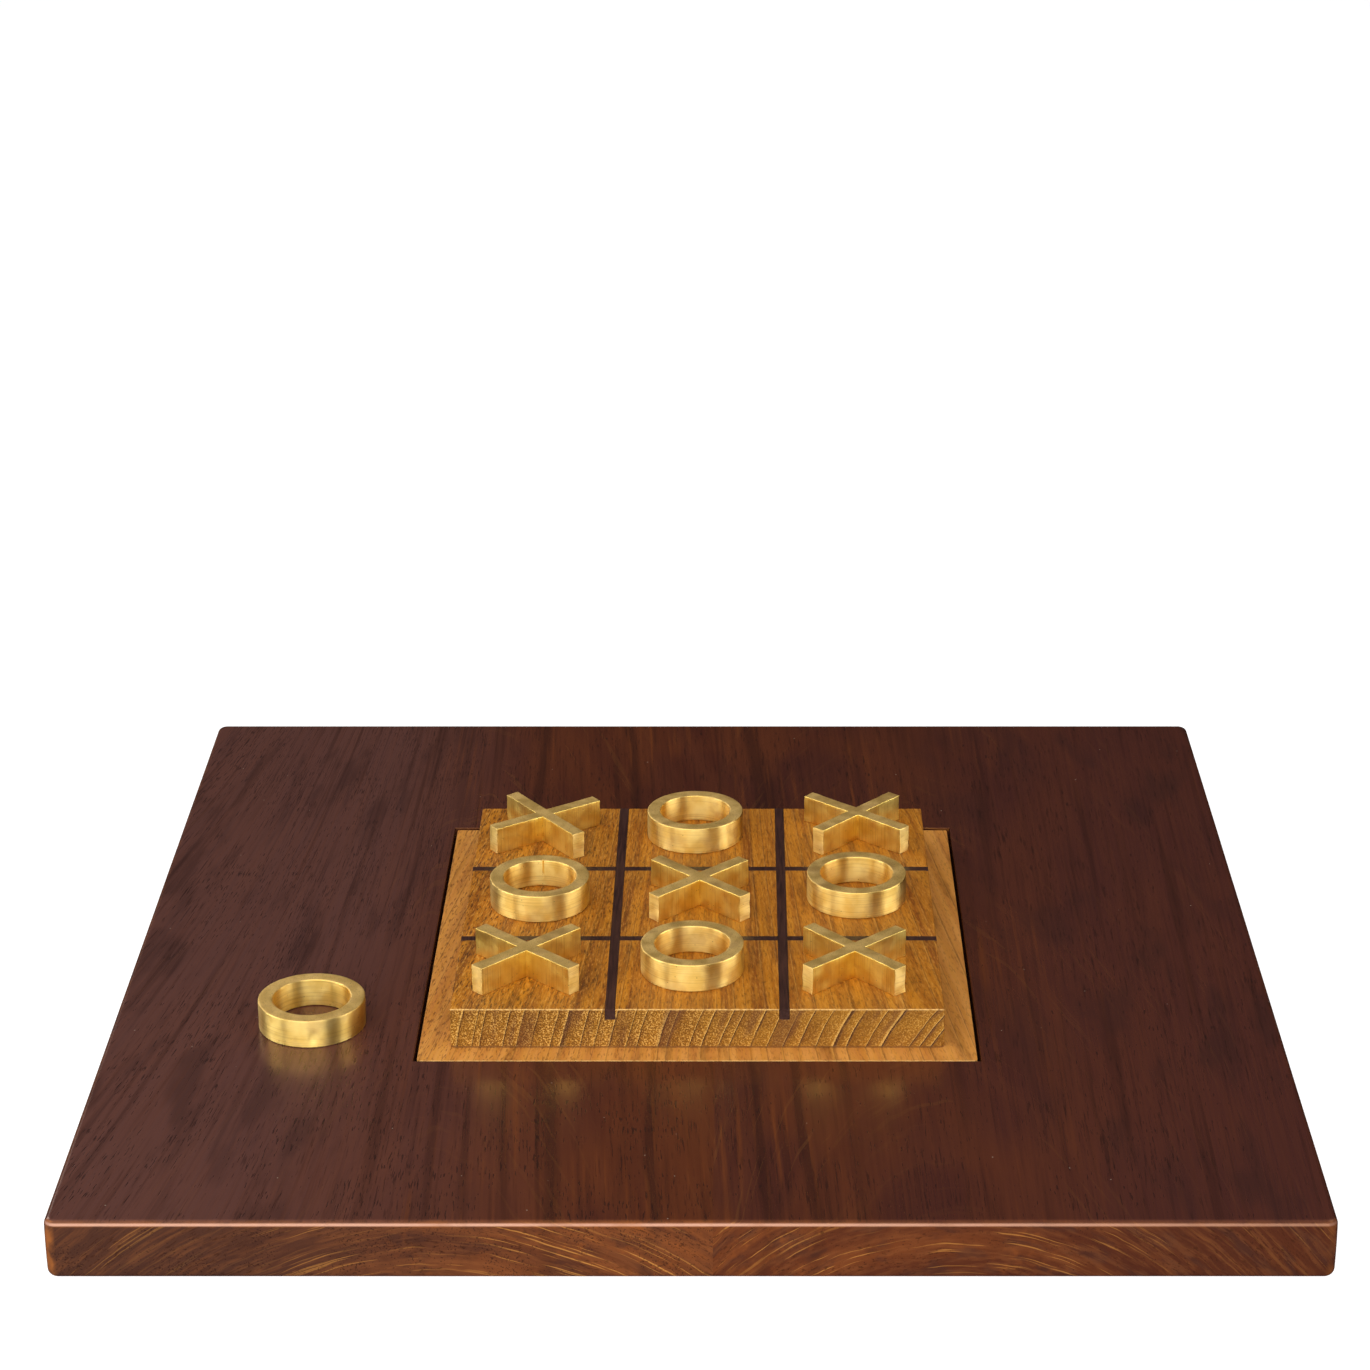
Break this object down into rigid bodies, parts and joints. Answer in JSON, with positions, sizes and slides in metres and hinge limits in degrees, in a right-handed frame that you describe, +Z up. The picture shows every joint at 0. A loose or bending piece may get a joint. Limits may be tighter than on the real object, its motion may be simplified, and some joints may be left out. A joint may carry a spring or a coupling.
{
  "type": "tic-tac-toe board",
  "caption": "Square hardwood slab with a raised, strip-inlaid playing block set loosely in a recess, and solid brass crosses and rings to play with.",
  "frame": {"origin": "middle of the slab's underside, which is the face that the board rests on", "axes": "+Z up, out of the playing field; -Y towards the player in front; +X to that player's right"},
  "size_m": [0.472, 0.472, 0.0525],
  "materials": {
    "slab_hardwood": "dark red-brown hardwood under satin-gloss lacquer",
    "block_teak": "open-pored golden brown wood, lightly oiled",
    "inlay_wood": "dark purple-brown wood, sanded flush",
    "brass": "sawn and sanded brass, satin on top and brighter on the sides"
  },
  "bodies": {
    "slab": {"slab_left_plank": "slab_hardwood", "slab_right_plank": "slab_hardwood"},
    "block": {"playing_block": "block_teak", "strip_long_left": "inlay_wood", "strip_long_right": "inlay_wood", "strip_back_left": "inlay_wood", "strip_back_middle": "inlay_wood", "strip_back_right": "inlay_wood", "strip_front_left": "inlay_wood", "strip_front_middle": "inlay_wood", "strip_front_right": "inlay_wood"},
    "cross_back_left": {"cross_back_left": "brass"},
    "cross_back_right": {"cross_back_right": "brass"},
    "cross_centre": {"cross_centre": "brass"},
    "cross_front_left": {"cross_front_left": "brass"},
    "cross_front_right": {"cross_front_right": "brass"},
    "ring_back_centre": {"ring_back_centre": "brass"},
    "ring_mid_left": {"ring_mid_left": "brass"},
    "ring_mid_right": {"ring_mid_right": "brass"},
    "ring_front_centre": {"ring_front_centre": "brass"},
    "ring_spare": {"ring_spare": "brass"}
  },
  "joints": [
    {"name": "block_lift", "type": "slide", "parent": "slab", "child": "block", "axis": [0, 0, 1], "range_m": [0, 0.04]},
    {"name": "cross_back_left_lift", "type": "slide", "parent": "block", "child": "cross_back_left", "axis": [0, 0, 1], "range_m": [0, 0.05]},
    {"name": "cross_back_right_lift", "type": "slide", "parent": "block", "child": "cross_back_right", "axis": [0, 0, 1], "range_m": [0, 0.05]},
    {"name": "cross_centre_lift", "type": "slide", "parent": "block", "child": "cross_centre", "axis": [0, 0, 1], "range_m": [0, 0.05]},
    {"name": "cross_front_left_lift", "type": "slide", "parent": "block", "child": "cross_front_left", "axis": [0, 0, 1], "range_m": [0, 0.05]},
    {"name": "cross_front_right_lift", "type": "slide", "parent": "block", "child": "cross_front_right", "axis": [0, 0, 1], "range_m": [0, 0.05]},
    {"name": "ring_back_centre_lift", "type": "slide", "parent": "block", "child": "ring_back_centre", "axis": [0, 0, 1], "range_m": [0, 0.05]},
    {"name": "ring_mid_left_lift", "type": "slide", "parent": "block", "child": "ring_mid_left", "axis": [0, 0, 1], "range_m": [0, 0.05]},
    {"name": "ring_mid_right_lift", "type": "slide", "parent": "block", "child": "ring_mid_right", "axis": [0, 0, 1], "range_m": [0, 0.05]},
    {"name": "ring_front_centre_lift", "type": "slide", "parent": "block", "child": "ring_front_centre", "axis": [0, 0, 1], "range_m": [0, 0.05]},
    {"name": "ring_spare_lift", "type": "slide", "parent": "slab", "child": "ring_spare", "axis": [0, 0, 1], "range_m": [0, 0.05]}
  ]
}
